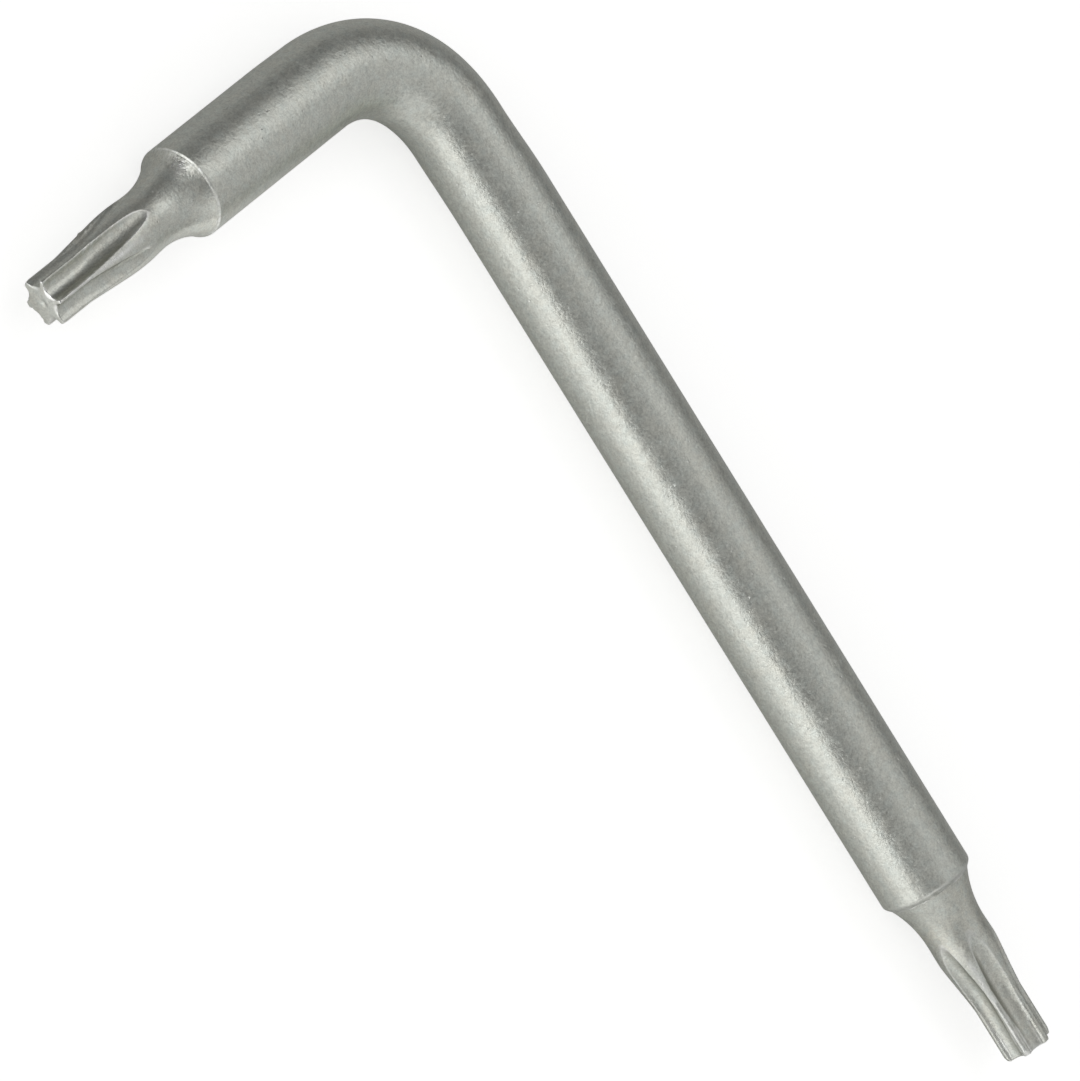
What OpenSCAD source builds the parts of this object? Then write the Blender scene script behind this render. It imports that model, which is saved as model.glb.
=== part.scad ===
// Double-ended star key, lying flat.
// A round steel bar is bent to an L, and each end is turned down to a waisted neck
// and formed into a six-lobe star whose flutes run out in pointed spoons on the neck.
// X runs along the long arm to its star, the short arm points to -Y, Z is up.

/* [Bar] */
// Diameter of the round bar
bar_d = 8; // [6.5:0.1:10]
// Long arm, from the outside of the bend to the end of its star
long_reach = 101.6; // [80:0.1:150]
// Short arm, from the outside of the bend to the end of its star
short_reach = 46.9; // [40:0.1:70]
// Radius of the bend, at the middle of the bar
bend_r = 10; // [6:0.5:14]
// Bevel worn on the long arm's shoulder
long_shoulder_bevel = 0.4; // [0.1:0.05:0.8]
// Bevel worn on the short arm's shoulder
short_shoulder_bevel = 0.15; // [0.1:0.05:0.8]

/* [Neck] */
// Long arm's turned end, from its shoulder to the end of its star
long_tip_len = 15.6; // [14.5:0.1:20]
// Short arm's turned end, from its shoulder to the end of its star
short_tip_len = 16.5; // [14.5:0.1:20]
// Diameter of the neck at its waist
waist_d = 5.15; // [4.9:0.05:5.3]
// Distance from the shoulder to the waist
waist_at = 4.2; // [3:0.1:5]
// Diameter of the round root that carries the star
root_d = 5.3; // [5.2:0.05:5.8]
// Length of the cone from the root down to the lobes' crests
cone_len = 4; // [2:0.1:6]

/* [Star] */
// Size across two opposite lobes
star_d = 4.3; // [4.2:0.01:4.6]
// Size across two opposite flutes
core_d = 3.06; // [2.95:0.01:3.25]
// Radius of a lobe's rounded crest
lobe_r = 0.32; // [0.28:0.01:0.4]
// Length of the star below the cone
star_len = 5.2; // [4:0.1:7]
// Length of a flute, with its run-out
flute_len = 11.5; // [10:0.1:12.5]
// Slope of a flute's run-out
runout_angle = 11; // [9:0.5:14]
// Radius in which a flute's floor turns up to its run-out
runout_r = 12; // [9:0.5:15]
// Bevel round the end of the star
end_bevel = 0.15; // [0.1:0.05:0.6]
// Turn of the long arm's star about its arm
long_star_turn = -11; // [-30:1:30]
// Turn of the short arm's star about its arm
short_star_turn = 22; // [-30:1:30]

/* [Hidden] */
$fn = 96;
lobes = 6;
bar_steel = [0.60, 0.61, 0.58];
neck_steel = [0.56, 0.57, 0.54];
// How far a cutter reaches past what it cuts
overrun = 1;
// How much wider a flute is than one that would only touch the lobes' rounding
flank_bite = 0.1;
// How far a run-out's cutter rises past the root
runout_exit = 0.35;
// A flute's cutter is built in stretches: how far each one starts inside the last
nest_len = 0.2;
// How much slimmer each stretch is than the last
nest_step = 0.01;
// Share of the cone's length in which the lobed rod starts, hidden inside it
rod_start_share = 0.5;

bar_r = bar_d / 2;
long_straight = long_reach - bar_r - bend_r - long_tip_len;
short_straight = short_reach - bar_r - bend_r - short_tip_len;
// Lines of the two arms, with the whole key centred on the origin
elbow_x = bar_r - long_reach / 2;
elbow_y = short_reach / 2 - bar_r;

waist_r = waist_d / 2;
root_r = root_d / 2;
star_r = star_d / 2;
core_r = core_d / 2;
// A lobe and a flute are arcs that cross halfway up the flank
half_pitch = 180 / lobes;
lobe_at = star_r - lobe_r;
touch_r = (pow(lobe_at, 2) + pow(core_r, 2) - 2 * lobe_at * core_r * cos(half_pitch) - pow(lobe_r, 2))
    / (2 * (lobe_r + lobe_at * cos(half_pitch) - core_r));
flute_r = touch_r + flank_bite;
flute_at = core_r + flute_r;
lobe_centre = lobe_at * [cos(half_pitch), sin(half_pitch)];
flank = [flute_at, 0] - lobe_centre;
flank_point = lobe_centre + lobe_r * flank / norm(flank);
// A flute's floor turns up in an arc and then climbs to the root's surface
arc_rise = runout_r * (1 - cos(runout_angle));
arc_run = runout_r * sin(runout_angle);
climb_run = (root_r - core_r - arc_rise) / tan(runout_angle);

// Carries a shape from the bend to the long arm, its Z along the arm
module on_long_arm() {
    translate([elbow_x + bend_r, elbow_y, bar_r])
        rotate([0, 90, 0])
            children();
}

// Carries a shape from the bend to the short arm, its Z along the arm
module on_short_arm() {
    translate([elbow_x, elbow_y - bend_r, bar_r])
        rotate([90, 0, 0])
            children();
}

// Straight stretch of the bar, ending in its bevelled shoulder
module straight_arm(straight, bevel) {
    rotate_extrude()
        polygon([
            [0, 0],
            [bar_r, 0],
            [bar_r, straight - bevel],
            [bar_r - bevel, straight],
            [0, straight]
        ]);
}

// Quarter turn that joins the two arms
module bend() {
    translate([elbow_x + bend_r, elbow_y - bend_r, bar_r])
        rotate([0, 0, 90])
            rotate_extrude(angle = 90)
                translate([bend_r, 0])
                    circle(r = bar_r);
}

// Neck: a hollow sweep from the shoulder to the waist, then the root and its cone
module neck(tip_len, shoulder_r) {
    sweep_drop = shoulder_r - waist_r;
    sweep_r = (pow(sweep_drop, 2) + pow(waist_at, 2)) / (2 * sweep_drop);
    cone_end = tip_len - star_len;
    cone_slope = (root_r - star_r) / cone_len;
    // The cone goes on inside the lobes, so that its lands fade into their rounding
    fade_len = star_len - end_bevel;
    rotate_extrude()
        difference() {
            polygon([
                [0, 0],
                [shoulder_r + overrun, 0],
                [shoulder_r + overrun, waist_at],
                [root_r, waist_at],
                [root_r, cone_end - cone_len],
                [star_r - cone_slope * fade_len, cone_end + fade_len],
                [0, cone_end + fade_len]
            ]);
            translate([waist_r + sweep_r, waist_at])
                circle(r = sweep_r, $fn = 4 * $fn);
        }
}

// Lobed rod with its bevelled end, before the flutes are cut
module lobed_rod(tip_len) {
    rod_start = tip_len - star_len - rod_start_share * cone_len;
    intersection() {
        translate([0, 0, rod_start])
            linear_extrude(tip_len - rod_start) {
                circle(r = norm(flank_point));
                for (k = [0 : lobes - 1])
                    rotate(k * 2 * half_pitch)
                        translate([lobe_at, 0])
                            circle(r = lobe_r);
            }
        rotate_extrude()
            polygon([
                [0, rod_start - overrun],
                [star_r + overrun, rod_start - overrun],
                [star_r + overrun, tip_len - end_bevel - overrun],
                [star_r - end_bevel, tip_len],
                [0, tip_len]
            ]);
    }
}

// Cutter for one flute: straight from the star's end, an arc, and the climb to the root
module flute(tip_len) {
    arc_at = tip_len - flute_len + climb_run + arc_run;
    turn_r = runout_r - flute_r;
    nest_angle = asin(nest_len / turn_r);
    climb_len = climb_run / cos(runout_angle) + runout_exit / sin(runout_angle);
    translate([flute_at, 0, arc_at])
        cylinder(r = flute_r, h = tip_len + overrun - arc_at);
    translate([flute_at + turn_r, 0, arc_at])
        rotate([90, 0, 0]) {
            rotate([0, 0, 180 - nest_angle])
                rotate_extrude(angle = runout_angle + nest_angle)
                    translate([turn_r, 0])
                        circle(r = flute_r - nest_step);
            rotate([0, 0, 180 + runout_angle])
                translate([turn_r, -nest_len])
                    rotate([-90, 0, 0])
                        cylinder(r = flute_r - 2 * nest_step, h = nest_len + climb_len);
        }
}

// Turned and fluted end of an arm, standing on its shoulder
module star_tip(tip_len, shoulder_r, turn) {
    rotate(turn)
        difference() {
            union() {
                neck(tip_len, shoulder_r);
                lobed_rod(tip_len);
            }
            for (k = [0 : lobes - 1])
                rotate((2 * k + 1) * half_pitch)
                    flute(tip_len);
        }
}

// Bent round bar between the two shoulders
module shank() {
    color(bar_steel) {
        on_long_arm() straight_arm(long_straight, long_shoulder_bevel);
        bend();
        on_short_arm() straight_arm(short_straight, short_shoulder_bevel);
    }
}

// Star end of the long arm
module long_star_tip() {
    color(neck_steel)
        on_long_arm()
            translate([0, 0, long_straight])
                star_tip(long_tip_len, bar_r - long_shoulder_bevel, long_star_turn);
}

// Star end of the short arm
module short_star_tip() {
    color(neck_steel)
        on_short_arm()
            translate([0, 0, short_straight])
                star_tip(short_tip_len, bar_r - short_shoulder_bevel, short_star_turn);
}

shank();
long_star_tip();
short_star_tip();
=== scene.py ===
"""Dresses a packed star key: a bent steel bar with a six-lobe star formed on each end."""

import math

import bpy
from bpy.props import FloatProperty, FloatVectorProperty, PointerProperty
from mathutils import Matrix, Vector


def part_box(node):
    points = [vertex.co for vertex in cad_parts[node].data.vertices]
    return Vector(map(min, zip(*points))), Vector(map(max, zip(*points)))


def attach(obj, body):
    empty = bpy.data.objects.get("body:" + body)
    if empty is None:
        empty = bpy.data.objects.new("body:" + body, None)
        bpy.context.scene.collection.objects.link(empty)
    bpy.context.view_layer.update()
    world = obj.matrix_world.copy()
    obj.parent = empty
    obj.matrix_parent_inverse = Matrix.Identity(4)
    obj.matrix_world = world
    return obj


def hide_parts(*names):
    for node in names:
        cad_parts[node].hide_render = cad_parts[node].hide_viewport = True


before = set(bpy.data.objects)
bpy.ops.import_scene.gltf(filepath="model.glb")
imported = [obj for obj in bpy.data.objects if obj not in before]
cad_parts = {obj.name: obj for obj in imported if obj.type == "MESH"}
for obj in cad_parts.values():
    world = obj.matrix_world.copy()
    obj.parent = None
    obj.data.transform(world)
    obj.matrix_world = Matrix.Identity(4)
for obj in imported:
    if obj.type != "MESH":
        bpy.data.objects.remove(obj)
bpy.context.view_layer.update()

bl_info = {
    "name": "Star Key",
    "version": (1, 0, 0),
    "blender": (4, 5, 0),
    "location": "View3D > Sidebar > Star Key",
    "description": "Makes a star key's bent bar and its two star ends in worn satin steel, on a stage",
    "category": "Object",
}

BAR_LOW, BAR_HIGH = (Vector(corner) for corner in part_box("shank"))
LONG_LOW, LONG_HIGH = (Vector(corner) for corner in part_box("long_star_tip"))
SHORT_LOW, SHORT_HIGH = (Vector(corner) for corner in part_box("short_star_tip"))
MM = 0.001
QUARTER_TURN = math.pi / 2
LOBES = 6
LOBE_PITCH = 2 * math.pi / LOBES
# Faces round and along the tube that each piece grows from
BAR_FACES = (160, 440)
TIP_FACES = (324, 264)
WHITE = (1.0, 1.0, 1.0, 1.0)


# ------------------------------------------------------------------ sizes and colours


def length(name, description, default):
    """A length that a user may change, in metres."""
    return FloatProperty(name=name, description=description, default=default, unit="LENGTH", precision=5)


def colour(name, description, default):
    """A colour that a user may change."""
    return FloatVectorProperty(
        name=name, description=description, default=default, subtype="COLOR", size=3, min=0.0, max=1.0
    )


def share(name, description, default):
    """A number from 0 to 1 that a user may change."""
    return FloatProperty(
        name=name, description=description, default=default, subtype="FACTOR", min=0.0, max=1.0
    )


def angle(name, description, degrees):
    """An angle that a user may change."""
    return FloatProperty(
        name=name, description=description, default=math.radians(degrees), subtype="ANGLE"
    )


def level(name, description, default):
    """How bright a lit face is, where 1 is white."""
    return FloatProperty(name=name, description=description, default=default, min=0.0, soft_max=2.0)


class StarKeyBar(bpy.types.PropertyGroup):
    """Sizes of the bent bar."""

    radius: length("Bar radius", "Half the diameter of the round bar", BAR_HIGH.z / 2)
    bend_radius: length("Bend radius", "Radius of the bend at the middle of the bar", 10 * MM)
    bend_flat: length("Bend flat", "How far the bend's outside is pressed in beside its corner", 0.12 * MM)
    bend_sag: length("Bend sag", "How far the long arm leaves the bend inside its own line", 0.17 * MM)
    bend_crease: length("Bend crease", "Depth of the crease that bending leaves on the inside", 0.08 * MM)
    long_bevel: length("Long shoulder bevel", "Bevel worn on the long arm's shoulder", 0.4 * MM)
    short_bevel: length("Short shoulder bevel", "Bevel worn on the short arm's shoulder", 0.15 * MM)
    ripple: length("Ripple", "Depth of the shallow ripple that drawing leaves in the bar", 0.012 * MM)
    ripple_width: length("Ripple width", "Distance over which the ripple rises and falls", 3.5 * MM)


class StarTip:
    """Sizes that the two star ends share."""

    waist_at: length("Waist place", "Distance from the shoulder to the neck's waist", 4.2 * MM)
    root_radius: length("Root radius", "Radius of the round root that carries the star", 2.65 * MM)
    lobe_radius: length("Lobe radius", "Radius of a lobe's rounded crest", 0.32 * MM)
    flute_length: length("Flute length", "Length of a flute with its run-out", 11.5 * MM)
    runout_angle: angle("Run-out angle", "Slope of a flute's run-out", 11)
    runout_blend: length("Run-out blend", "Softness of a floor's turn to its run-out", 0.3 * MM)
    edge_round: length("Edge round", "Rounding worn on the flutes' edges", 0.05 * MM)


class StarKeyLongTip(StarTip, bpy.types.PropertyGroup):
    """Sizes of the long arm's star end."""

    waist_radius: length("Waist radius", "Radius of the neck at its waist", 2.6 * MM)
    star_radius: length("Star radius", "Distance from the axis to a lobe's crest", 2.23 * MM)
    core_radius: length("Core radius", "Distance from the axis to a flute's floor", 1.6 * MM)
    flute_radius: length("Flute radius", "Radius of the round tool that shaped a flute", 1.1 * MM)
    cone_start: length("Cone start", "Distance from the shoulder to the star's cone", 6.2 * MM)
    cone_length: length("Cone length", "Length of the cone that leads to the star", 4 * MM)
    star_turn: angle("Star turn", "Turn of the star about its arm", -11)
    star_lean: length("Star lean", "How far the star lies beside its arm's axis", 0.075 * MM)
    lean_angle: angle("Lean angle", "Side to which the star lies", 130)
    flute_lean: length("Flute lean", "How much deeper the flutes are on one side", 0.0)
    flute_angle: angle("Flute lean angle", "Side on which the flutes are deeper", 0)
    runout_lean: length("Run-out lean", "How much further the flutes run out on one side", 0.0)
    runout_side: angle("Run-out side", "Side on which the flutes run out further", 0)
    rim_round: length("Rim round", "Rounding of the rim at the end of the star", 0.12 * MM)
    crest_wear: length("Crest wear", "How far the crests are worn down at the star's end", 0.14 * MM)
    # Edge wear and highlight: how bright the flutes' edges are from wear and painted highlight, most at the
    # wear and highlight angle. Painted lobe angle: the lobe with a painted crest highlight and painted
    # shade on the flutes' walls beside it
    edge_wear: share("Edge wear", "How bright the flutes' edges are rubbed", 0.85)
    wear_angle: angle("Wear angle", "Side on which the edges are rubbed most", 229)
    stain_angle: angle("Stain angle", "Lobe beside which the flutes' walls are stained", 229)
    end_tilt: share("End tilt", "Slope of the star's end face", 0.0)
    dimple: length("Dimple", "Depth of the mark in the middle of the end face", 0.08 * MM)
    drag: share("Drag marks", "Bright scores that a tool dragged over the neck", 0.0)
    burr_at: length("Burr place", "Distance from the shoulder to a small burr", 14.75 * MM)
    burr_angle: angle("Burr angle", "Side on which the burr stands", 128)


class StarKeyShortTip(StarTip, bpy.types.PropertyGroup):
    """Sizes of the short arm's star end."""

    waist_radius: length("Waist radius", "Radius of the neck at its waist", 2.54 * MM)
    star_radius: length("Star radius", "Distance from the axis to a lobe's crest", 2.2 * MM)
    core_radius: length("Core radius", "Distance from the axis to a flute's floor", 1.49 * MM)
    flute_radius: length("Flute radius", "Radius of the round tool that shaped a flute", 1.02 * MM)
    cone_start: length("Cone start", "Distance from the shoulder to the star's cone", 7.6 * MM)
    cone_length: length("Cone length", "Length of the cone that leads to the star", 5 * MM)
    star_turn: angle("Star turn", "Turn of the star about its arm", 22)
    star_lean: length("Star lean", "How far the star lies beside its arm's axis", 0.09 * MM)
    lean_angle: angle("Lean angle", "Side to which the star lies", 22)
    flute_lean: length("Flute lean", "How much deeper the flutes are on one side", 0.23 * MM)
    flute_angle: angle("Flute lean angle", "Side on which the flutes are deeper", 97)
    runout_lean: length("Run-out lean", "How much further the flutes run out on one side", 0.26 * MM)
    runout_side: angle("Run-out side", "Side on which the flutes run out further", 202)
    rim_round: length("Rim round", "Rounding of the rim at the end of the star", 0.18 * MM)
    crest_wear: length("Crest wear", "How far the crests are worn down at the star's end", 0.06 * MM)
    # Edge wear and highlight: how bright the flutes' edges are from wear and painted highlight, most at the
    # wear and highlight angle. Painted lobe angle: the lobe with a painted crest highlight and painted
    # shade on the flutes' walls beside it
    edge_wear: share("Edge wear", "How bright the flutes' edges are rubbed", 1.0)
    wear_angle: angle("Wear angle", "Side on which the edges are rubbed most", 105)
    stain_angle: angle("Stain angle", "Lobe beside which the flutes' walls are stained", 82)
    end_tilt: share("End tilt", "Slope of the star's end face", 0.075)
    dimple: length("Dimple", "Depth of the mark in the middle of the end face", 0.12 * MM)
    drag: share("Drag marks", "Bright scores that a tool dragged over the neck", 1.0)
    burr_at: length("Burr place", "Distance from the shoulder to a small burr", 9.46 * MM)
    burr_angle: angle("Burr angle", "Side on which the burr stands", 202)


class StarKeySteel(bpy.types.PropertyGroup):
    """Colours and finish of the steel."""

    bar_colour: colour("Bar steel", "Colour of the blasted bar", (0.665, 0.68, 0.628))
    tip_colour: colour("Tip steel", "Colour of the turned and formed ends", (0.65, 0.66, 0.605))
    warm_colour: colour("Warm steel", "Colour of the faintly warm patches", (0.675, 0.67, 0.6))
    cool_colour: colour("Cool steel", "Colour of the faintly cool patches", (0.645, 0.685, 0.645))
    # The worn colour also colours the painted highlights and painted glints; the stained colour is the
    # painted shade on the flutes' walls
    worn_colour: colour("Worn steel", "Colour of edges that wear has rubbed bright", (0.93, 0.935, 0.915))
    wall_shade_colour: colour("Stained steel", "Colour of the stain on the flutes' walls", (0.18, 0.172, 0.14))
    bar_roughness: share("Bar roughness", "Roughness of the blasted bar", 0.39)
    long_roughness: share("Long tip roughness", "Roughness of the long arm's star end", 0.43)
    short_roughness: share("Short tip roughness", "Roughness of the short arm's star end", 0.34)
    grain: length("Grain", "Width of one grain of the blasted surface", 0.24 * MM)
    grain_depth: length("Grain depth", "Height of the blasted surface's grain", 0.0125 * MM)
    dent_depth: length("Dent depth", "Height of the shallow unevenness that handling leaves", 0.02 * MM)
    pit_depth: length("Pit depth", "Depth of the stray pits", 0.03 * MM)


class StarKeyStage(bpy.types.PropertyGroup):
    """Floor and light."""

    floor_colour: colour("Floor", "Colour of the floor", (0.7, 0.7, 0.69))
    floor_glow: level("Floor glow", "What the lit floor lacks to be white", 0.67)
    room_level: level("Room light", "Light from all round", 0.17)
    front_level: level("Front panel", "Long low panel in front of the key's crook", 1.42)
    left_level: level("Left panel", "Panel to the left of the camera", 1.2)
    side_level: level("Side panel", "Wide panel past the long arm's star", 0.34)
    corner_level: level("Corner panel", "Low panel between the front and the side", 0.4)
    back_level: level("Back panel", "Panel above and behind the bend", 0.58)
    crown_level: level("Crown panel", "Small panel high over the long arm", 0.3)
    sweep_level: level("Back sweep", "Wide panel behind the bend", 0.34)
    top_level: level("Top panel", "Panel straight above the key", 0.27)


class StarKey(bpy.types.PropertyGroup):
    """All settings of the star key."""

    bar: PointerProperty(type=StarKeyBar)
    long_tip: PointerProperty(type=StarKeyLongTip)
    short_tip: PointerProperty(type=StarKeyShortTip)
    steel: PointerProperty(type=StarKeySteel)
    stage: PointerProperty(type=StarKeyStage)


def settings(group):
    """The names of a group's own settings."""
    names = (entry.identifier for entry in group.bl_rna.properties)
    return [name for name in names if name not in ("rna_type", "name")]


def sizes_of(group):
    """A group's settings under the names that the shape trees give them."""
    return {name.replace("_", " ").title(): getattr(group, name) for name in settings(group)}


# ------------------------------------------------------------------ node trees


class Wire:
    """A value that flows between nodes; arithmetic on it adds the Math nodes that do it."""

    def __init__(self, net, socket):
        self.net = net
        self.socket = socket

    def __add__(self, other):
        return self.net.math("ADD", self, other)

    def __radd__(self, other):
        return self.net.math("ADD", other, self)

    def __sub__(self, other):
        return self.net.math("SUBTRACT", self, other)

    def __rsub__(self, other):
        return self.net.math("SUBTRACT", other, self)

    def __mul__(self, other):
        return self.net.math("MULTIPLY", self, other)

    def __rmul__(self, other):
        return self.net.math("MULTIPLY", other, self)

    def __truediv__(self, other):
        return self.net.math("DIVIDE", self, other)

    def __rtruediv__(self, other):
        return self.net.math("DIVIDE", other, self)

    def __neg__(self):
        return self.net.math("MULTIPLY", self, -1.0)

    def __abs__(self):
        return self.net.math("ABSOLUTE", self)


class Net:
    """A node tree while it is being wired."""

    def __init__(self, tree):
        self.tree = tree

    def node(self, kind, settings=None, inputs=None, out=0):
        """Adds a node: its settings first, then its sockets' values and links. Gives one of its outputs."""
        made = self.tree.nodes.new(kind)
        for name, value in (settings or {}).items():
            setattr(made, name, value)
        for key, value in (inputs or {}).items():
            socket = made.inputs[key] if isinstance(key, int) else self.find(made.inputs, key)
            if isinstance(value, Wire):
                self.tree.links.new(value.socket, socket)
            else:
                socket.default_value = value
        if not made.outputs:
            return made
        return Wire(self, made.outputs[out] if isinstance(out, int) else self.find(made.outputs, out))

    @staticmethod
    def find(sockets, key):
        """The socket with this identifier, or else with this name."""
        for socket in sockets:
            if socket.identifier == key:
                return socket
        return sockets[key]

    def also(self, wire, out):
        """Another output of the node that a wire comes from."""
        return Wire(self, self.find(wire.socket.node.outputs, out))

    def math(self, operation, *values):
        return self.node("ShaderNodeMath", {"operation": operation}, dict(enumerate(values)))

    def sin(self, angle):
        return self.math("SINE", angle)

    def cos(self, angle):
        return self.math("COSINE", angle)

    def larger(self, a, b):
        return self.math("MAXIMUM", a, b)

    def smaller(self, a, b):
        return self.math("MINIMUM", a, b)

    def soft_max(self, a, b, width):
        return self.math("SMOOTH_MAX", a, b, width)

    def soft_min(self, a, b, width):
        return self.math("SMOOTH_MIN", a, b, width)

    def root(self, value):
        """Square root, with zero for anything below zero."""
        return self.math("SQRT", self.larger(value, 0.0))

    def turn_from(self, angle, middle):
        """How far an angle lies from the middle, between minus and plus half a turn."""
        return self.math("WRAP", angle - middle, math.pi, -math.pi)

    def ramp(self, value, start, end, low=0.0, high=1.0, kind="LINEAR"):
        """Goes from low at start to high at end, and stays there."""
        return self.node(
            "ShaderNodeMapRange",
            {"interpolation_type": kind, "clamp": True},
            {"Value": value, "From Min": start, "From Max": end, "To Min": low, "To Max": high},
        )

    def bump_at(self, distance, width):
        """One at distance zero, fading to zero at width."""
        return self.ramp(abs(distance), 0.0, width, 1.0, 0.0, "SMOOTHSTEP")

    def vector(self, x, y, z):
        return self.node("ShaderNodeCombineXYZ", None, {"X": x, "Y": y, "Z": z})

    def noise(self, vector, size, detail=2.0, roughness=0.5):
        """Cloudy noise about one half, with blotches of the given size."""
        return self.node(
            "ShaderNodeTexNoise",
            {"noise_dimensions": "3D"},
            {"Vector": vector, "Scale": 1.0 / size, "Detail": detail, "Roughness": roughness},
        )

    def grit(self, vector, size, detail=2.0):
        """Noise spread out over the whole span from 0 to 1."""
        lowest, highest = 0.3, 0.7
        return self.ramp(self.noise(vector, size, detail, roughness=0.6), lowest, highest)

    def broken(self, angle, low, high):
        """Breaks up a ring by the angle round it: low where it is gone, high where it is whole."""
        gap, gone, whole = 0.11, 0.42, 0.6
        patches = self.noise(self.vector(angle, 0.0, 0.0), gap, detail=1.0)
        return self.ramp(patches, gone, whole, low, high)

    def spots(self, vector, spacing, radius):
        """Stray round spots: one in the middle, fading to zero at the radius."""
        distance = self.node(
            "ShaderNodeTexVoronoi",
            {"feature": "F1"},
            {"Vector": vector, "Scale": 1.0 / spacing},
            "Distance",
        )
        return self.ramp(distance, 0.0, radius / spacing, 1.0, 0.0, "SMOOTHSTEP")

    def mix(self, factor, a, b):
        """Blends two colours."""
        return self.node(
            "ShaderNodeMix",
            {"data_type": "RGBA", "clamp_factor": True},
            {"Factor_Float": factor, "A_Color": a, "B_Color": b},
            "Result_Color",
        )


def shape_tree(name, sizes):
    """A new geometry tree with a steel and these named sizes as inputs; gives its net and its inputs."""
    tree = bpy.data.node_groups.new(name, "GeometryNodeTree")
    tree.interface.new_socket("Geometry", in_out="OUTPUT", socket_type="NodeSocketGeometry")
    tree.interface.new_socket("Steel", in_out="INPUT", socket_type="NodeSocketMaterial")
    for size, value in sizes.items():
        kind = "NodeSocketVector" if isinstance(value, tuple) else "NodeSocketFloat"
        tree.interface.new_socket(size, in_out="INPUT", socket_type=kind)
    net = Net(tree)
    inlet = tree.nodes.new("NodeGroupInput")
    return net, {socket.name: Wire(net, socket) for socket in inlet.outputs if socket.name}


def tube(net, faces):
    """A closed tube; gives its mesh and each point's share of its length, angle and share of its radius."""
    around, rows = faces
    mesh = net.node(
        "GeometryNodeMeshCylinder",
        {"fill_type": "TRIANGLE_FAN"},
        {"Vertices": around, "Side Segments": rows, "Fill Segments": 1, "Radius": 1.0, "Depth": 1.0},
        "Mesh",
    )
    place = net.node("GeometryNodeInputPosition")
    x = net.node("ShaderNodeSeparateXYZ", None, {"Vector": place}, "X")
    y, z = net.also(x, "Y"), net.also(x, "Z")
    reach = net.smaller(net.root(x * x + y * y), 1.0)
    return mesh, z + 0.5, net.math("ARCTAN2", y, x), reach


def close_tree(net, mesh, points, smooth, size, marks):
    """Moves the tube's points to their place, keeps the marks for the steel, and ends the tree."""
    for name, value in marks.items():
        mesh = net.node(
            "GeometryNodeStoreNamedAttribute",
            {"data_type": "FLOAT", "domain": "POINT"},
            {"Geometry": mesh, "Name": name, "Value": value},
        )
    mesh = net.node("GeometryNodeSetPosition", None, {"Geometry": mesh, "Position": points})
    mesh = net.node("GeometryNodeSetShadeSmooth", None, {"Geometry": mesh, "Selection": smooth})
    mesh = net.node(
        "GeometryNodeTransform",
        None,
        {"Geometry": mesh, "Translation": size["Place"], "Rotation": size["Facing"]},
    )
    mesh = net.node("GeometryNodeRealizeInstances", None, {"Geometry": mesh})
    mesh = net.node("GeometryNodeSetMaterial", None, {"Geometry": mesh, "Material": size["Steel"]})
    outlet = net.tree.nodes.new("NodeGroupOutput")
    net.tree.links.new(mesh.socket, outlet.inputs["Geometry"])
    return net.tree


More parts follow.
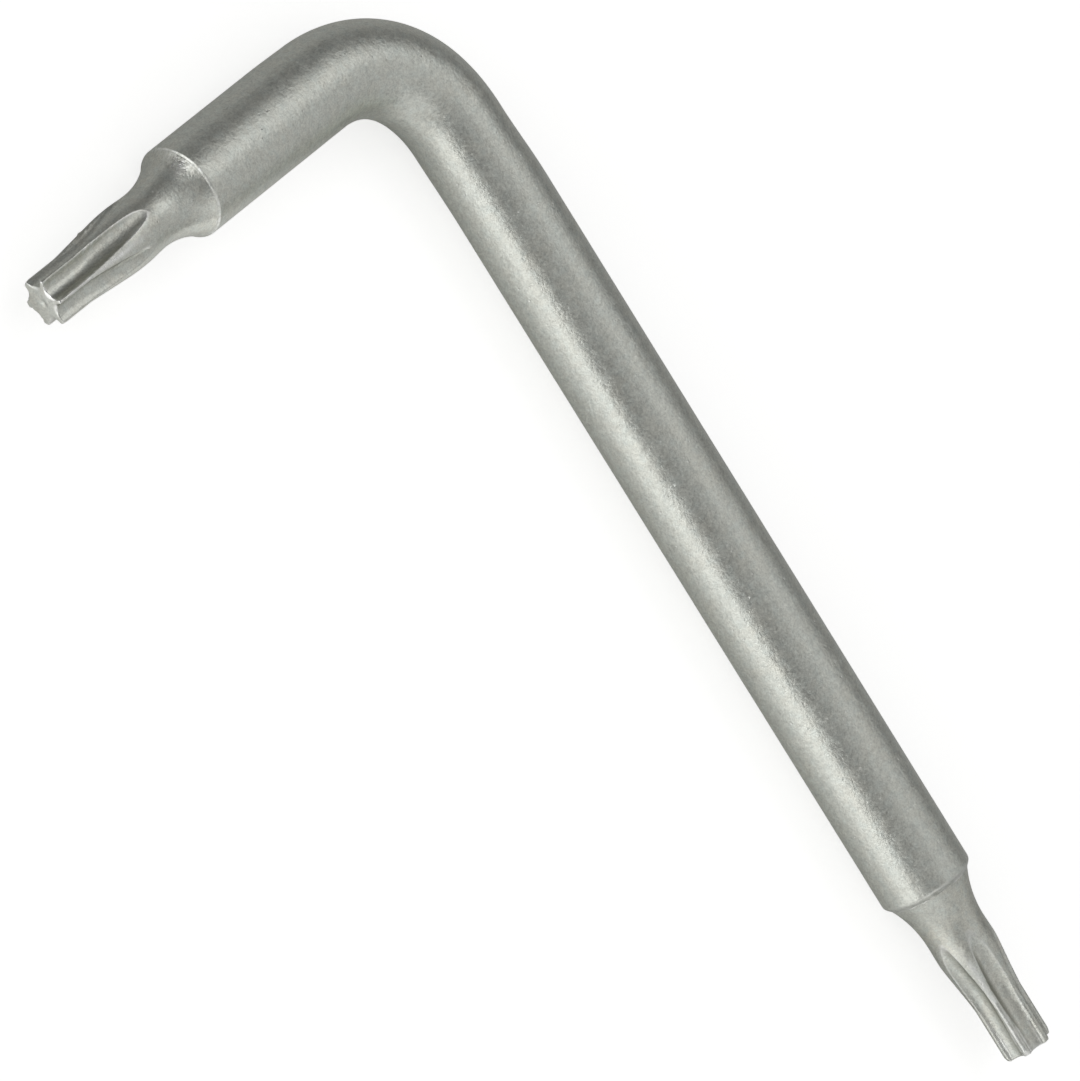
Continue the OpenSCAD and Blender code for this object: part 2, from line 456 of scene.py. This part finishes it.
def bent_bar_tree(sizes):
    """Round bar swept along a straight arm, a bend and a second straight arm, with bevelled shoulders."""
    net, size = shape_tree("Bent bar", sizes)
    mesh, row, angle, reach = tube(net, BAR_FACES)
    bend_run = size["Bend Radius"] * QUARTER_TURN
    bend_start = size["Short Straight"]
    whole = bend_start + bend_run + size["Long Straight"]

    # Rows crowd together at the two shoulders, where the bevels are
    short_rows, long_rows = 0.04, 0.94
    short_crowd, long_crowd = 0.5 * MM, 1.0 * MM
    along = (
        net.ramp(row, 0.0, short_rows, 0.0, short_crowd)
        + net.ramp(row, short_rows, long_rows, 0.0, whole - (short_crowd + long_crowd))
        + net.ramp(row, long_rows, 1.0, 0.0, long_crowd)
    )
    to_long_end = whole - along
    before_bend = net.larger(bend_start - along, 0.0)
    after_bend = net.larger(along - bend_start - bend_run, 0.0)
    bent = net.ramp(along, bend_start, bend_start + bend_run, QUARTER_TURN, 0.0)

    # Bevels: nearly sharp at the short arm's shoulder, softer at the long arm's
    short_softness, long_softness = 0.06 * MM, 0.3 * MM
    short_bevel = net.soft_max(size["Short Bevel"] - along, 0.0, short_softness)
    long_bevel = net.soft_max(size["Long Bevel"] - to_long_end, 0.0, long_softness)
    bevels = short_bevel + long_bevel

    # The bend is pressed flat on both sides of its corner, creased inside it, and sags where it ends:
    # the place of each and its width, as shares of the bend
    press_in_at, press_in_width = 0.12, 0.4
    press_out_at, press_out_width = 1.02, 0.42
    crease_at, crease_width = 0.4, 0.34
    sag_at, sag_width = 0.95, 0.45
    round_bend = (along - bend_start) / bend_run
    outside = net.larger(net.cos(angle), 0.0)
    inside = net.larger(-net.cos(angle), 0.0)
    press_in = net.bump_at(round_bend - press_in_at, press_in_width)
    press_out = net.bump_at(round_bend - press_out_at, press_out_width)
    pressed = size["Bend Flat"] * (press_in + press_out) * outside
    creased = size["Bend Crease"] * net.bump_at(round_bend - crease_at, crease_width) * inside
    sag = size["Bend Sag"] * net.bump_at(round_bend - sag_at, sag_width)

    skin = net.vector(along, size["Radius"] * net.cos(angle), size["Radius"] * net.sin(angle))
    ripple = size["Ripple"] * net.noise(skin, size["Ripple Width"], detail=1.0)
    radius = (size["Radius"] - bevels - pressed - creased - ripple) * reach
    out = size["Bend Radius"] - sag + radius * net.cos(angle)
    x = after_bend - out * net.sin(bent)
    y = out * net.cos(bent) - before_bend
    place = net.vector(x, y, radius * net.sin(angle))

    # Wear and painted highlights: the long shoulder's edge and bevel, and a broken ring on the short
    # shoulder's bevel, worn bright and painted as bright highlight lines
    edge_width, bevel_width, bevel_wear_and_highlight = 0.1 * MM, 0.65 * MM, 0.5
    ring_at, ring_width = 0.6, 0.12 * MM
    ring_least, ring_most = 0.1, 0.8
    long_edge = net.bump_at(to_long_end, edge_width)
    long_fade = net.ramp(to_long_end, edge_width, bevel_width, bevel_wear_and_highlight, 0.0)
    ring = net.bump_at(along - size["Short Bevel"] * ring_at, ring_width)
    ring = ring * net.broken(angle, ring_least, ring_most)
    worn = net.larger(ring, net.larger(long_edge, long_fade))
    return close_tree(net, mesh, place, net.also(mesh, "Side"), size, {"worn": worn})


def star_tip_tree(sizes):
    """Waisted neck, root, cone and six-lobe star whose flutes run out in pointed spoons."""
    net, size = shape_tree("Star tip", sizes)
    mesh, row, angle, reach = tube(net, TIP_FACES)

    # Rows: a few at the shoulder, most along the tip, then the rim, then the end face to its pole
    shoulder_rows, body_rows, rim_middle, rim_rows = 0.04, 0.88, 0.9, 0.92
    crowd, pole = 0.3 * MM, 0.03
    rim = size["Rim Round"]
    rim_turn = net.ramp(row, body_rows, rim_rows, 0.0, QUARTER_TURN)
    body_end = size["Tip Length"] - rim
    at_shoulder = net.ramp(row, 0.0, shoulder_rows, 0.0, crowd)
    body_at = at_shoulder + net.ramp(row, shoulder_rows, body_rows, 0.0, body_end - crowd)
    face = net.ramp(row, rim_rows, 1.0, 1.0, pole)
    on_face = net.ramp(row, rim_middle, rim_rows)
    side = 1.0 - on_face

    # Neck: a hollow sweep to the waist, a low root, then the cone that goes on inside the lobes
    rise_length, cone_softness = 2.2 * MM, 0.12 * MM
    drop = size["Shoulder Radius"] - size["Waist Radius"]
    sweep = (drop * drop + size["Waist At"] * size["Waist At"]) / (2.0 * drop)
    to_waist = net.larger(size["Waist At"] - body_at, 0.0)
    hollow = size["Waist Radius"] + sweep - net.root(sweep * sweep - to_waist * to_waist)
    swell = size["Root Radius"] - size["Waist Radius"]
    rise = net.ramp(body_at, size["Waist At"], size["Waist At"] + rise_length, 0.0, swell, "SMOOTHSTEP")
    cone_slope = (size["Root Radius"] - size["Star Radius"]) / size["Cone Length"]
    taper = net.soft_max((body_at - size["Cone Start"]) * cone_slope, 0.0, cone_softness)
    neck = hollow + rise - taper

    # Lobes: round crests about the star's own radius
    lobe_softness = 0.04 * MM
    from_flute = net.math("PINGPONG", angle - size["Star Turn"] - LOBE_PITCH / 2, LOBE_PITCH / 2)
    from_lobe = LOBE_PITCH / 2 - from_flute
    lobe_at = size["Star Radius"] - size["Lobe Radius"]
    lobe_side = lobe_at * net.sin(from_lobe)
    lobe_top = net.root(size["Lobe Radius"] * size["Lobe Radius"] - lobe_side * lobe_side)
    crest = lobe_at * net.cos(from_lobe) + lobe_top
    body = net.soft_max(neck, crest, lobe_softness)

    # Flutes: a round tool that rises out of the star to the root, and cuts nothing past its own sides
    tool_clearance = 8.0
    into_flute = body_at - (size["Tip Length"] - size["Flute Length"])
    slope = net.math("TANGENT", size["Runout Angle"])
    climb = size["Root Radius"] - into_flute * slope - net.smaller(into_flute, 0.0)
    climb = climb - size["Runout Lean"] * net.cos(angle - size["Runout Side"])
    core = size["Core Radius"] - size["Flute Lean"] * net.cos(angle - size["Flute Angle"])
    floor = net.soft_max(climb, core, size["Runout Blend"])
    tool_at = floor + size["Flute Radius"]
    tool_side = tool_at * net.sin(from_flute)
    tool_reach = size["Flute Radius"] * size["Flute Radius"] - tool_side * tool_side
    past_tool = net.larger(-tool_reach, 0.0) / size["Flute Radius"]
    flute = tool_at * net.cos(from_flute) - net.root(tool_reach) + tool_clearance * past_tool

    # Crests worn down at the star's end, and a small burr
    crest_length, crest_softness = 0.35 * MM, 0.05 * MM
    burr_height, burr_length, burr_width = 0.09 * MM, 0.28 * MM, 0.3 * MM
    crest_drop = size["Crest Wear"] * net.ramp(body_at, body_end - crest_length, body_end)
    fluted = net.soft_min(body, flute, size["Edge Round"])
    cut = net.soft_min(fluted, net.larger(size["Star Radius"] - crest_drop, neck), crest_softness)
    beside_burr = net.turn_from(angle, size["Burr Angle"]) * size["Star Radius"]
    burr_ridge = burr_height * net.bump_at(body_at - size["Burr At"], burr_length)
    burr = burr_ridge * net.bump_at(beside_burr, burr_width)

    # Rim: rounded less on the crests than in the flutes. End face: tilted, with a mark in its middle
    flute_depth, crest_rim, flute_rim = 0.6 * MM, 0.7, 1.9
    tilt_length, dimple_radius = 3.0 * MM, 0.45 * MM
    rim_in = rim * net.ramp(size["Star Radius"] - cut, 0.0, flute_depth, crest_rim, flute_rim)
    radius = (cut + burr - rim_in * (1.0 - net.cos(rim_turn))) * face * reach
    cone_end = size["Cone Start"] + size["Cone Length"]
    lean = size["Star Lean"] * net.ramp(body_at, size["Waist At"], cone_end)
    x = radius * net.cos(angle) + lean * net.cos(size["Lean Angle"])
    y = radius * net.sin(angle) + lean * net.sin(size["Lean Angle"])
    tilt = size["End Tilt"] * net.ramp(body_at, body_end - tilt_length, body_end)
    sunk = size["Dimple"] * net.bump_at(radius, dimple_radius) * on_face
    z = body_at + rim * net.sin(rim_turn) - sunk - tilt * (size["Star Radius"] - y)

    # Sides of the tip, by the cosine of the turn from the middle of each: where it starts and is full. They
    # pick the side of worn edges with painted highlights, the rim's painted highlight, and the lobe with a
    # painted crest highlight and painted shade on the walls beside it
    worn_and_highlit, rim_highlit, with_painted_shade = (0.45, 0.9), (0.6, 0.95), (0.84, 0.96)
    edge_least, edge_most = 0.06, 1.0
    rim_least, rim_most = 0.45, 1.8
    from_wear_and_highlight = net.cos(angle - size["Wear Angle"])
    wear_and_highlight_side = net.ramp(from_wear_and_highlight, *worn_and_highlit, edge_least, edge_most)
    rim_highlight_side = net.ramp(from_wear_and_highlight, *rim_highlit, rim_least, rim_most)
    painted_lobe_side = net.ramp(net.cos(angle - size["Stain Angle"]), *with_painted_shade)

    # Wear and painted highlights: the flutes' edges and the shoulder's ring, worn bright, with painted
    # highlights on the edges mostly on one side; a painted highlight on the crest of one lobe and on the
    # rim
    edge_width, crest_width, ring_width = 0.17 * MM, 0.3 * MM, 0.1 * MM
    shallow, full_depth = 0.1 * MM, 0.6 * MM
    runout_wear_and_highlight, crest_share = 0.6, 0.85
    ring_least, ring_most = 0.15, 1.0
    rim_start, rim_highlight_at, rim_highlight_width = 0.87, math.pi / 4, math.pi / 3
    deep = net.ramp(size["Root Radius"] - floor, shallow, full_depth)
    edge = net.bump_at(body - flute, edge_width) * net.ramp(deep, 0.0, 1.0, runout_wear_and_highlight, 1.0)
    edge = edge * wear_and_highlight_side * size["Edge Wear"] * side
    # Painted highlight on the crest of the lobe at the painted lobe angle
    crest_highlight = crest_share * net.bump_at(lobe_side, crest_width) * deep
    crest_highlight = crest_highlight * painted_lobe_side * size["Edge Wear"] * side
    ring = net.bump_at(body_at, ring_width) * net.broken(angle, ring_least, ring_most)
    # Painted highlight along the middle of the rim's rounding, strongest on one side
    rim_highlight = rim_highlight_side * net.bump_at(rim_turn - rim_highlight_at, rim_highlight_width)
    rim_highlight_mark = rim_highlight * net.ramp(row, rim_start, body_rows)

    # Scores that a tool dragged over the neck beside the shoulder
    drag_at, drag_width = math.radians(136), math.radians(32)
    drag_start, drag_end = 0.3 * MM, 2.2 * MM
    score_width, score_stretch, score_edges = 0.06, 30.0, (0.46, 0.58)
    score_noise = net.noise(net.vector(angle, body_at * score_stretch, 0.0), score_width, detail=1.0)
    scores = size["Drag"] * net.ramp(score_noise, *score_edges)
    drag = scores * net.bump_at(net.turn_from(angle, drag_at), drag_width)
    drag = drag * net.ramp(body_at, drag_start, drag_end, 1.0, 0.0)
    worn = net.larger(net.larger(edge, ring), net.larger(rim_highlight_mark, drag))
    worn = net.larger(worn, crest_highlight)

    # Painted shade on the flutes' walls beside one lobe, where they are steep
    steepness, wall_width = (0.3, 0.8), 0.1 * MM
    steep = net.ramp(tool_side / size["Flute Radius"], *steepness)
    wall = steep * net.ramp(body - flute, 0.0, wall_width)
    grime = wall * deep * painted_lobe_side * side
    shown = net.node("FunctionNodeBooleanMath", {"operation": "NOT"}, {0: net.also(mesh, "Bottom")})
    return close_tree(net, mesh, net.vector(x, y, z), shown, size, {"worn": worn, "grime": grime})


def grow(name, tree, steel, sizes):
    """Runs a tree once and keeps what it makes as a plain mesh."""
    piece = bpy.data.objects.new(name, bpy.data.meshes.new(name))
    bpy.context.scene.collection.objects.link(piece)
    maker = piece.modifiers.new("Maker", "NODES")
    maker.node_group = tree
    for item in tree.interface.items_tree:
        if item.in_out == "INPUT":
            maker[item.identifier] = steel if item.name == "Steel" else sizes[item.name]
    depsgraph = bpy.context.evaluated_depsgraph_get()
    mesh = bpy.data.meshes.new_from_object(
        piece.evaluated_get(depsgraph), preserve_all_data_layers=True, depsgraph=depsgraph
    )
    if not mesh.polygons:
        raise RuntimeError(f"{name}: its tree made no faces")
    piece.modifiers.remove(maker)
    piece.data = mesh
    mesh.name = name
    return piece


# ------------------------------------------------------------------ steels


def rgba(values):
    return (*values, 1.0)


def new_steel(name):
    """A fresh metal; gives the material, its net and its shader node."""
    steel = bpy.data.materials.new(name)
    steel.use_nodes = True
    net = Net(steel.node_tree)
    return steel, net, steel.node_tree.nodes["Principled BSDF"]


def finish_steel(net, shader, base, roughness, height):
    """Wires colour, roughness and surface height into a metal."""
    shader.inputs["Metallic"].default_value = 1.0
    net.tree.links.new(base.socket, shader.inputs["Base Color"])
    net.tree.links.new(roughness.socket, shader.inputs["Roughness"])
    bump = net.node(
        "ShaderNodeBump", None, {"Strength": 1.0, "Distance": MM, "Height": height / MM}, "Normal"
    )
    net.tree.links.new(bump.socket, shader.inputs["Normal"])


def satin_steel(name, look, base_colour, base_roughness, warmth, fineness):
    """Grey satin steel: fine grain, shallow dents, warm and cool patches, stray pits with painted glints,
    rubbed edges with painted highlights and painted shade on the flutes' walls.
    """
    steel, net, shader = new_steel(name)
    place = net.node("ShaderNodeTexCoord", None, None, "Object")
    worn = net.node("ShaderNodeAttribute", {"attribute_name": "worn"}, None, "Fac")
    grime = net.node("ShaderNodeAttribute", {"attribute_name": "grime"}, None, "Fac")

    # Patterns, each with its size
    fleck_share = 0.55
    grain_size = look.grain * fineness
    fleck_size = look.grain * fleck_share * fineness
    dent_size, blotch_size = 1.1 * MM, 0.5 * MM
    warm_size, cool_size, wear_and_highlight_size = 2.6 * MM, 0.75 * MM, 0.8 * MM
    pit_spacing, pit_radius = 1.1 * MM, 0.13 * MM
    grain = net.grit(place, grain_size)
    fleck = net.grit(place, fleck_size, detail=1.0)
    dent = net.grit(place, dent_size, detail=1.0)
    blotch = net.grit(place, blotch_size)
    pit = net.spots(place, pit_spacing, pit_radius)

    # Patches: the noise at which each starts and is full
    warm_edges, cool_edges, wear_and_highlight_edges, least_wear_and_highlight = (0.4, 0.75), (0.45, 0.7), (0.35, 0.6), 0.25
    warm = net.ramp(net.noise(place, warm_size, roughness=0.6), *warm_edges)
    cool = net.ramp(net.noise(place, cool_size, roughness=0.6), *cool_edges)
    uneven = net.ramp(net.noise(place, wear_and_highlight_size), *wear_and_highlight_edges, least_wear_and_highlight, 1.0)

    # Colour: patches, shaded by the patterns, then painted shade on the flutes' walls, then worn edges with
    # painted highlights and the pits' painted glints in the bright colour
    coolness, wall_shading, pit_glint = 0.6, 0.6, 0.35
    darkest, dent_light, blotch_light, grain_light, fleck_light = 0.71, 0.05, 0.13, 0.2, 0.2
    tone = net.mix(warm * warmth, rgba(base_colour), rgba(look.warm_colour))
    tone = net.mix(cool * coolness, tone, rgba(look.cool_colour))
    shade = darkest + dent_light * dent + blotch_light * blotch + grain_light * grain + fleck_light * fleck
    dull = net.node(
        "ShaderNodeVectorMath", {"operation": "SCALE"}, {"Vector": tone, "Scale": shade}, "Vector"
    )
    with_painted_shade = net.mix(grime * wall_shading, dull, rgba(look.wall_shade_colour))
    # Bright colour: worn edges with painted highlights, and painted glints on the pits
    worn_and_highlit = net.larger(worn * uneven, pit * pit_glint)
    base = net.mix(worn_and_highlit, with_painted_shade, rgba(look.worn_colour))

    # Finish: uneven with the dents and the grain, and smoother along the worn edges and painted highlights
    middle, fleck_height = 0.5, 0.15
    dent_dulls, grain_dulls, wear_polishes = 0.05, 0.06, 0.06
    unevenness = dent_dulls * (dent - middle) + grain_dulls * (grain - middle)
    roughness = base_roughness + unevenness - wear_polishes * worn
    grains = look.grain_depth * (grain + fleck_height * fleck)
    height = grains + look.dent_depth * dent - look.pit_depth * pit
    finish_steel(net, shader, base, roughness, height)
    return steel


def blasted_bar_steel(look):
    """Bar: blasted satin grey."""
    warmth, fineness = 0.6, 1.0
    return satin_steel("blasted_bar_steel", look, look.bar_colour, look.bar_roughness, warmth, fineness)


def formed_tip_steel(name, look, roughness):
    """Tips: turned and formed steel with a slightly finer grain and warmer patches."""
    warmth, fineness = 1.0, 0.85
    return satin_steel(name, look, look.tip_colour, roughness, warmth, fineness)


# ------------------------------------------------------------------ operators


class STARKEY_OT_bent_bar(bpy.types.Operator):
    """Make the bent bar in blasted steel"""

    bl_idname = "starkey.bent_bar"
    bl_label = "Bent bar"

    def execute(self, context):
        key = context.scene.star_key
        bar = key.bar
        elbow = bar.radius + bar.bend_radius
        sizes = sizes_of(bar) | {
            "Long Straight": BAR_HIGH.x - BAR_LOW.x - elbow,
            "Short Straight": BAR_HIGH.y - BAR_LOW.y - elbow,
            "Place": (BAR_LOW.x + elbow, BAR_HIGH.y - elbow, bar.radius),
            "Facing": (0.0, 0.0, 0.0),
        }
        piece = grow("bent_bar", bent_bar_tree(sizes), blasted_bar_steel(key.steel), sizes)
        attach(piece, "root")
        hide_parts("shank")
        return {"FINISHED"}


class STARKEY_OT_star_tips(bpy.types.Operator):
    """Make the star ends of both arms in formed steel"""

    bl_idname = "starkey.star_tips"
    bl_label = "Star tips"

    def execute(self, context):
        key = context.scene.star_key
        look, bar_middle = key.steel, key.bar.radius
        long_steel = formed_tip_steel("long_tip_steel", look, look.long_roughness)
        long_sizes = sizes_of(key.long_tip) | {
            "Tip Length": LONG_HIGH.x - LONG_LOW.x,
            "Shoulder Radius": (LONG_HIGH.y - LONG_LOW.y) / 2,
            "Place": (LONG_LOW.x, (LONG_LOW.y + LONG_HIGH.y) / 2, bar_middle),
            "Facing": (0.0, QUARTER_TURN, 0.0),
        }
        short_steel = formed_tip_steel("short_tip_steel", look, look.short_roughness)
        short_sizes = sizes_of(key.short_tip) | {
            "Tip Length": SHORT_HIGH.y - SHORT_LOW.y,
            "Shoulder Radius": (SHORT_HIGH.x - SHORT_LOW.x) / 2,
            "Place": ((SHORT_LOW.x + SHORT_HIGH.x) / 2, SHORT_HIGH.y, bar_middle),
            "Facing": (QUARTER_TURN, 0.0, 0.0),
        }
        tree = star_tip_tree(long_sizes)
        for name, node, steel, sizes in (
            ("long_star", "long_star_tip", long_steel, long_sizes),
            ("short_star", "short_star_tip", short_steel, short_sizes),
        ):
            piece = grow(name, tree, steel, sizes)
            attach(piece, "root")
            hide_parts(node)
        return {"FINISHED"}


class STARKEY_OT_stage(bpy.types.Operator):
    """Set the key on a pale floor in soft light, with a camera above the crook of the key"""

    bl_idname = "starkey.stage"
    bl_label = "Stage"

    def execute(self, context):
        stage = context.scene.star_key.stage
        self.floor(context, stage)
        self.room(context, stage)
        # Panels: azimuth and elevation in degrees, width and height in metres, brightness
        for name, azimuth, elevation, size, glow in (
            ("front_panel", -105.0, 14.0, (1.7, 0.46), stage.front_level),
            ("left_panel", -132.0, 36.0, (0.6, 0.5), stage.left_level),
            ("side_panel", 15.0, 36.0, (2.4, 1.1), stage.side_level),
            ("corner_panel", -35.0, 22.0, (0.9, 0.7), stage.corner_level),
            ("back_panel", 112.0, 58.0, (0.62, 0.55), stage.back_level),
            ("crown_panel", 58.0, 66.0, (0.34, 0.3), stage.crown_level),
            ("back_sweep", 125.0, 52.0, (1.1, 0.6), stage.sweep_level),
            ("top_panel", 0.0, 85.0, (0.8, 0.8), stage.top_level),
        ):
            self.panel(context, name, math.radians(azimuth), math.radians(elevation), size, glow)
        self.camera(context)
        context.scene.view_settings.view_transform = "Standard"
        return {"FINISHED"}

    @staticmethod
    def floor(context, stage):
        """A floor that the camera sees as white, apart from the key's shadow."""
        half = 3.0
        corners = [(-half, -half, 0.0), (half, -half, 0.0), (half, half, 0.0), (-half, half, 0.0)]
        mesh = bpy.data.meshes.new("floor")
        mesh.from_pydata(corners, [], [(0, 1, 2, 3)])
        floor = bpy.data.objects.new("floor", mesh)
        context.scene.collection.objects.link(floor)
        paint = bpy.data.materials.new("pale_floor")
        paint.use_nodes = True
        paint.node_tree.nodes.clear()
        net = Net(paint.node_tree)
        seen = net.node("ShaderNodeLightPath", None, None, "Is Camera Ray")
        mirrored = net.larger(net.also(seen, "Is Glossy Ray"), net.also(seen, "Is Transmission Ray"))
        place = net.node("ShaderNodeTexCoord", None, None, "Object")
        x = net.node("ShaderNodeSeparateXYZ", None, {"Vector": place}, "X")
        y = net.also(x, "Y")
        # Painted reflection: the floor glows only in the metal's reflections, white in front of the key;
        # beside and behind the key that glow is left out, which paints shade into the reflections
        short_arm_x, short_star_y, long_arm_y = (-0.046, -0.026), (-0.022, -0.03), (0.018, -0.008)
        clear = net.larger(net.ramp(x, *short_arm_x), net.ramp(y, *short_star_y))
        painted_reflection = stage.floor_glow * mirrored * clear * net.ramp(y, *long_arm_y)
        # The light falls off away from the key, so the floor glows more there
        lit_edge, far_edge = 0.25, 1.5
        far = net.ramp(net.root(x * x + y * y), lit_edge, far_edge, stage.floor_glow, 1.0)
        matt = net.node("ShaderNodeBsdfDiffuse", None, {"Color": rgba(stage.floor_colour)})
        glow = net.node("ShaderNodeEmission", None, {"Color": WHITE, "Strength": far * seen + painted_reflection})
        lit = net.node("ShaderNodeAddShader", None, {0: matt, 1: glow})
        net.node("ShaderNodeOutputMaterial", None, {"Surface": lit})
        mesh.materials.append(paint)

    @staticmethod
    def room(context, stage):
        """A room that lights the key faintly from all round, and that the camera sees as white."""
        room = bpy.data.worlds.new("room")
        room.use_nodes = True
        room.node_tree.nodes.clear()
        net = Net(room.node_tree)
        seen = net.node("ShaderNodeLightPath", None, None, "Is Camera Ray")
        grey = net.node("ShaderNodeBackground", None, {"Color": WHITE, "Strength": stage.room_level})
        white = net.node("ShaderNodeBackground", None, {"Color": WHITE, "Strength": 1.0})
        mixed = net.node("ShaderNodeMixShader", None, {0: seen, 1: grey, 2: white})
        net.node("ShaderNodeOutputWorld", None, {"Surface": mixed})
        context.scene.world = room

    @staticmethod
    def panel(context, name, azimuth, elevation, size, level):
        """A soft panel that faces the key from a metre away; its level is the brightness of its face."""
        lamp = bpy.data.lights.new(name, "AREA")
        lamp.shape = "RECTANGLE"
        lamp.size, lamp.size_y = size
        lamp.energy = level * math.pi * size[0] * size[1]
        panel = bpy.data.objects.new(name, lamp)
        flat = math.cos(elevation)
        away = Vector((flat * math.cos(azimuth), flat * math.sin(azimuth), math.sin(elevation)))
        panel.location = away
        panel.rotation_euler = away.to_track_quat("Z", "Y").to_euler()
        panel.visible_camera = False
        context.scene.collection.objects.link(panel)

    @staticmethod
    def camera(context):
        """A long lens that looks down on the key over its crook, turned about its own line of sight."""
        lens = bpy.data.cameras.new("camera")
        lens.sensor_width = 36.0
        lens.lens = 345.33
        camera = bpy.data.objects.new("camera", lens)
        place = Vector((-0.171705, -0.472975, 0.637387))
        right = Vector((0.51798, 0.61287, 0.59673)).normalized()
        back = Vector((-0.20287, -0.58969, 0.78173)).normalized()
        up = back.cross(right).normalized()
        turn = Matrix((right, up, back)).transposed().to_4x4()
        camera.matrix_world = Matrix.Translation(place) @ turn
        context.scene.collection.objects.link(camera)
        context.scene.camera = camera


class STARKEY_PT_panel(bpy.types.Panel):
    """Sizes, finishes and makers of the star key"""

    bl_idname = "STARKEY_PT_panel"
    bl_label = "Star Key"
    bl_space_type = "VIEW_3D"
    bl_region_type = "UI"
    bl_category = "Star Key"

    def draw(self, context):
        key = context.scene.star_key
        for title, group, maker in (
            ("Bar", key.bar, "starkey.bent_bar"),
            ("Long star", key.long_tip, "starkey.star_tips"),
            ("Short star", key.short_tip, None),
            ("Steel", key.steel, None),
            ("Stage", key.stage, "starkey.stage"),
        ):
            box = self.layout.box()
            box.label(text=title)
            for setting in settings(group):
                box.prop(group, setting)
            if maker:
                box.operator(maker)


CLASSES = (
    StarKeyBar,
    StarKeyLongTip,
    StarKeyShortTip,
    StarKeySteel,
    StarKeyStage,
    StarKey,
    STARKEY_OT_bent_bar,
    STARKEY_OT_star_tips,
    STARKEY_OT_stage,
    STARKEY_PT_panel,
)


def register():
    for entry in CLASSES:
        bpy.utils.register_class(entry)
    bpy.types.Scene.star_key = PointerProperty(type=StarKey)


def unregister():
    del bpy.types.Scene.star_key
    for entry in reversed(CLASSES):
        bpy.utils.unregister_class(entry)


def main():
    register()
    bpy.ops.starkey.bent_bar()
    bpy.ops.starkey.star_tips()
    bpy.ops.starkey.stage()


if __name__ == "__main__":
    main()
